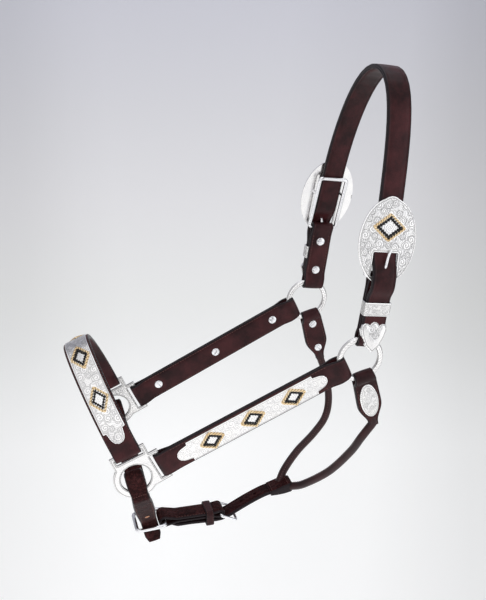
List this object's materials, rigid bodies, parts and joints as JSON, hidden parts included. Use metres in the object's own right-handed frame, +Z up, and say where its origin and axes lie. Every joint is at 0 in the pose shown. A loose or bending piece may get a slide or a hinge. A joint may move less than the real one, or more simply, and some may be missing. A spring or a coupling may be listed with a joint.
{
  "type": "western show halter",
  "caption": "Dark leather western show halter with engraved silver plates, gold rope and black bead diamonds, silver rings and buckles, and rolled throat straps",
  "frame": {"origin": "the underside of the crown strap at the top of its arch, where it rests on the horse's poll, in the plane of symmetry", "axes": "+Z up from the rings towards the poll, -X forward towards the nose, -Y the horse's near (left) side"},
  "size_m": [0.3491, 0.1986, 0.5227],
  "materials": {
    "leather": "satin",
    "engraved_silver": "polished, engraved",
    "nickel_hardware": "polished",
    "gold_rope": "polished",
    "black_beads": "gloss",
    "copper_rivet": "satin"
  },
  "bodies": {
    "crown": {"crown_strap": "leather", "near_crown_chape": "leather", "off_crown_chape": "leather", "near_chape_screws": "nickel_hardware", "off_chape_screws": "nickel_hardware", "near_silver_tip": "engraved_silver", "off_silver_tip": "engraved_silver", "near_buckle_plate": "engraved_silver", "off_buckle_plate": "engraved_silver", "near_buckle_frame": "nickel_hardware", "off_buckle_frame": "nickel_hardware", "near_buckle_rope": "gold_rope", "off_buckle_rope": "gold_rope", "near_buckle_beads": "black_beads", "off_buckle_beads": "black_beads"},
    "halter": {"noseband": "leather", "noseband_plate": "engraved_silver", "noseband_ropes": "gold_rope", "noseband_beads": "black_beads", "near_cheek_strap": "leather", "off_cheek_strap": "leather", "near_cheek_plate": "engraved_silver", "off_cheek_plate": "engraved_silver", "near_cheek_ropes": "gold_rope", "off_cheek_ropes": "gold_rope", "near_cheek_beads": "black_beads", "off_cheek_beads": "black_beads", "near_cheek_screws": "nickel_hardware", "off_cheek_screws": "nickel_hardware", "near_throat_tab": "leather", "off_throat_tab": "leather", "near_throat_concho": "engraved_silver", "off_throat_concho": "engraved_silver", "near_tab_screws": "nickel_hardware", "off_tab_screws": "nickel_hardware", "near_throat_roll": "leather", "off_throat_roll": "leather", "throat_wrap": "leather", "near_nose_ring": "engraved_silver", "off_nose_ring": "engraved_silver", "near_chin_strap": "leather", "off_chin_strap": "leather", "near_chin_rivet": "copper_rivet", "off_chin_rivet": "copper_rivet", "chin_ring": "nickel_hardware", "jaw_strap": "leather", "jaw_chape": "leather"},
    "near_tongue": {"near_buckle_tongue": "nickel_hardware"},
    "off_tongue": {"off_buckle_tongue": "nickel_hardware"},
    "near_keeper": {"near_silver_keeper": "engraved_silver"},
    "off_keeper": {"off_silver_keeper": "engraved_silver"},
    "near_ring": {"near_upper_ring": "engraved_silver"},
    "off_ring": {"off_upper_ring": "engraved_silver"},
    "jaw_keeper_loop": {"jaw_keeper": "leather"},
    "jaw_frame": {"jaw_buckle_frame": "nickel_hardware"},
    "jaw_tongue": {"jaw_buckle_tongue": "nickel_hardware"}
  },
  "joints": [
    {"name": "crown_swing", "type": "hinge", "parent": "crown", "child": "halter", "pos_m": [-0.043, 0, -0.279], "axis": [0, 1, 0], "range_deg": [-12, 12]},
    {"name": "near_ring_spin", "type": "hinge", "parent": "halter", "child": "near_ring", "pos_m": [-0.043, -0.084, -0.279], "axis": [0, 1, 0], "continuous": true},
    {"name": "off_ring_spin", "type": "hinge", "parent": "halter", "child": "off_ring", "pos_m": [-0.043, 0.084, -0.279], "axis": [0, 1, 0], "continuous": true},
    {"name": "near_tongue_lift", "type": "hinge", "parent": "crown", "child": "near_tongue", "pos_m": [-0.02647, -0.084, -0.18988], "axis": [0.9903, 0, -0.1392], "range_deg": [0, 6]},
    {"name": "off_tongue_lift", "type": "hinge", "parent": "crown", "child": "off_tongue", "pos_m": [-0.02647, 0.084, -0.18988], "axis": [-0.9903, 0, 0.1392], "range_deg": [0, 6]},
    {"name": "near_keeper_slide", "type": "slide", "parent": "crown", "child": "near_keeper", "axis": [0.1392, 0, 0.9903], "range_m": [-0.002, 0.003]},
    {"name": "off_keeper_slide", "type": "slide", "parent": "crown", "child": "off_keeper", "axis": [0.1392, 0, 0.9903], "range_m": [-0.002, 0.003]},
    {"name": "jaw_keeper_slide", "type": "slide", "parent": "halter", "child": "jaw_keeper_loop", "axis": [1, 0, 0], "range_m": [-0.012, 0.001]},
    {"name": "jaw_frame_turn", "type": "hinge", "parent": "halter", "child": "jaw_frame", "pos_m": [-0.174, 0, -0.496], "axis": [0, 1, 0], "range_deg": [-2, 0]},
    {"name": "jaw_tongue_turn", "type": "hinge", "parent": "halter", "child": "jaw_tongue", "pos_m": [-0.174, 0, -0.496], "axis": [0, 1, 0], "range_deg": [0, 2]}
  ]
}
